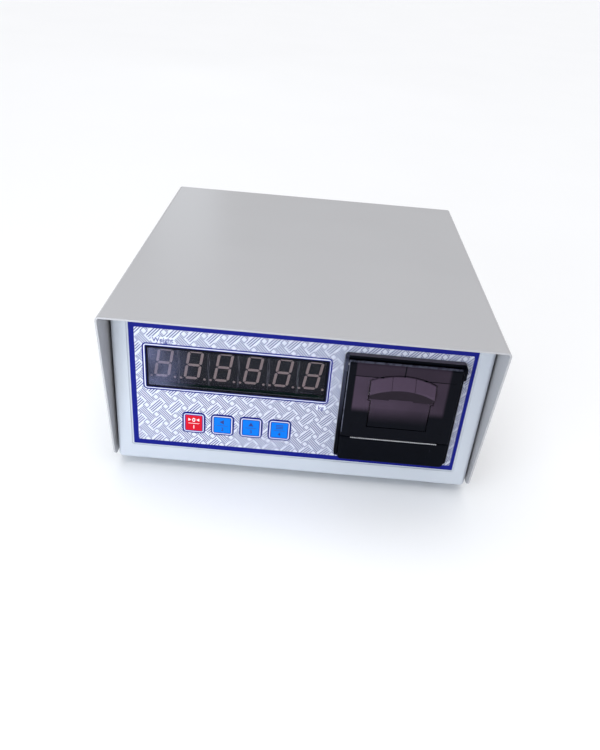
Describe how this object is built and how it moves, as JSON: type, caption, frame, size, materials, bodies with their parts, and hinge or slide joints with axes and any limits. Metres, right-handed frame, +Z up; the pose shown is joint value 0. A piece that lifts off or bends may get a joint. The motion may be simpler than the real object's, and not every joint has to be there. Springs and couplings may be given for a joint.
{
  "type": "weighing indicator terminal",
  "caption": "Weighing scale indicator: folded steel case with visor, digital display, key row and a built-in receipt printer with hinged door.",
  "frame": {"origin": "middle of the footprint on the table, below the rubber feet; the box includes the socket that stands out of the rear", "axes": "+Z up, +Y from the front panel to the rear, +X to the right as seen from the front"},
  "size_m": [0.2552, 0.284, 0.1302],
  "materials": {
    "case_paint": "satin powder coat, pale cool grey",
    "cover_paint": "glossy powder coat, warm light grey",
    "zinc_steel": "zinc plated",
    "foot_rubber": "matt moulded rubber",
    "label_print": "printed polyester label with a woven-bar pattern",
    "window_smoke": "clear tinted window",
    "digit_black": "black face with pale unlit segments",
    "board_green": "green solder resist",
    "switch_black": "moulded",
    "key_red": "printed key, red in a white ring",
    "key_blue": "printed key, blue in a white ring",
    "printer_black": "glossy moulded black",
    "door_smoke": "dark smoked plastic",
    "polished_steel": "bright steel",
    "platen_rubber": "ground rubber",
    "gear_nylon": "moulded nylon",
    "pinion_brass": "turned",
    "spindle_plastic": "moulded",
    "paper_white": "thermal paper, wound",
    "core_card": "card",
    "battery_case": "moulded grey",
    "lamination_steel": "varnished laminations",
    "coil_winding": "enamelled copper under tape",
    "ribbon_grey": "ribbed grey insulation",
    "rocker_red": "moulded red",
    "connector_nickel": "nickel plated"
  },
  "bodies": {
    "base": {"backup_battery": "battery_case", "battery_bracket": "zinc_steel", "board_parts": "switch_black", "board_screws": "zinc_steel", "chassis": "case_paint", "clamp_screws": "zinc_steel", "cover_nuts": "zinc_steel", "cover_screws": "zinc_steel", "display_board": "board_green", "display_standoffs": "zinc_steel", "display_window": "window_smoke", "foot_screws": "zinc_steel", "front_label": "label_print", "fuse_holder": "switch_black", "hinge_pins": "polished_steel", "idler_pin": "polished_steel", "inlet_screws": "zinc_steel", "led_digit_1": "digit_black", "led_digit_2": "digit_black", "led_digit_3": "digit_black", "led_digit_4": "digit_black", "led_digit_5": "digit_black", "led_digit_6": "digit_black", "load_cell_socket": "connector_nickel", "lower_cover": "printer_black", "main_board": "board_green", "main_standoffs": "zinc_steel", "paper_spindle": "spindle_plastic", "power_inlet": "switch_black", "print_head": "polished_steel", "printer_board": "board_green", "printer_clamps": "zinc_steel", "printer_frame": "printer_black", "printer_housing": "printer_black", "ribbon_cable": "ribbon_grey", "rubber_feet": "foot_rubber", "serial_port": "connector_nickel", "socket_nut": "zinc_steel", "stepper_motor": "polished_steel", "switch_body": "switch_black", "tact_switches": "switch_black", "tear_bar": "polished_steel", "top_cover": "cover_paint", "transformer_coil": "coil_winding", "transformer_core": "lamination_steel"},
    "door": {"printer_door": "door_smoke"},
    "latch": {"latch_lever": "door_smoke"},
    "platen": {"platen_roller": "platen_rubber", "platen_shaft": "polished_steel", "platen_gear": "gear_nylon"},
    "idler": {"idler_gear": "gear_nylon"},
    "motor_rotor": {"motor_pinion": "pinion_brass"},
    "paper": {"paper_roll": "paper_white", "paper_core": "core_card"},
    "zero_key": {"key_zero": "key_red"},
    "left_key": {"key_left": "key_blue"},
    "up_key": {"key_up": "key_blue"},
    "function_key": {"key_function": "key_blue"},
    "rocker": {"power_rocker": "rocker_red"},
    "fuse_drawer": {"fuse_cap": "switch_black"}
  },
  "joints": [
    {"name": "door_hinge", "type": "hinge", "parent": "base", "child": "door", "pos_m": [0.06785, -0.1256, 0.104], "axis": [-1, 0, 0], "range_deg": [0, 85]},
    {"name": "latch_pull", "type": "hinge", "parent": "door", "child": "latch", "pos_m": [0.06785, -0.1244, 0.079], "axis": [1, 0, 0], "range_deg": [0, 8], "stiffness_Nm_per_rad": 0.08, "springref_deg": -5.73},
    {"name": "platen_spin", "type": "hinge", "parent": "door", "child": "platen", "pos_m": [0.06785, -0.118, 0.055], "axis": [1, 0, 0], "continuous": true},
    {"name": "idler_spin", "type": "hinge", "parent": "base", "child": "idler", "pos_m": [0.06785, -0.1042, 0.055], "axis": [1, 0, 0], "continuous": true},
    {"name": "motor_spin", "type": "hinge", "parent": "base", "child": "motor_rotor", "pos_m": [0.06785, -0.0979, 0.04409], "axis": [1, 0, 0], "continuous": true},
    {"name": "paper_spin", "type": "hinge", "parent": "base", "child": "paper", "pos_m": [0.06785, -0.0965, 0.0815], "axis": [1, 0, 0], "continuous": true},
    {"name": "zero_key_press", "type": "slide", "parent": "base", "child": "zero_key", "axis": [0, 1, 0], "range_m": [0, 0.0005], "stiffness_N_per_m": 2500, "springref_m": -0.0001},
    {"name": "left_key_press", "type": "slide", "parent": "base", "child": "left_key", "axis": [0, 1, 0], "range_m": [0, 0.0005], "stiffness_N_per_m": 2500, "springref_m": -0.0001},
    {"name": "up_key_press", "type": "slide", "parent": "base", "child": "up_key", "axis": [0, 1, 0], "range_m": [0, 0.0005], "stiffness_N_per_m": 2500, "springref_m": -0.0001},
    {"name": "function_key_press", "type": "slide", "parent": "base", "child": "function_key", "axis": [0, 1, 0], "range_m": [0, 0.0005], "stiffness_N_per_m": 2500, "springref_m": -0.0001},
    {"name": "power_switch", "type": "hinge", "parent": "base", "child": "rocker", "pos_m": [0.05, 0.126, 0.043], "axis": [1, 0, 0], "range_deg": [-12, 0]},
    {"name": "fuse_cap_turn", "type": "hinge", "parent": "base", "child": "fuse_drawer", "pos_m": [0.026, 0.129, 0.043], "axis": [0, 1, 0], "range_deg": [0, 60]}
  ],
  "couplings": [
    {"joint": "idler_spin", "follows": "platen_spin", "ratio": -0.64286},
    {"joint": "motor_spin", "follows": "platen_spin", "ratio": 1.2857}
  ]
}
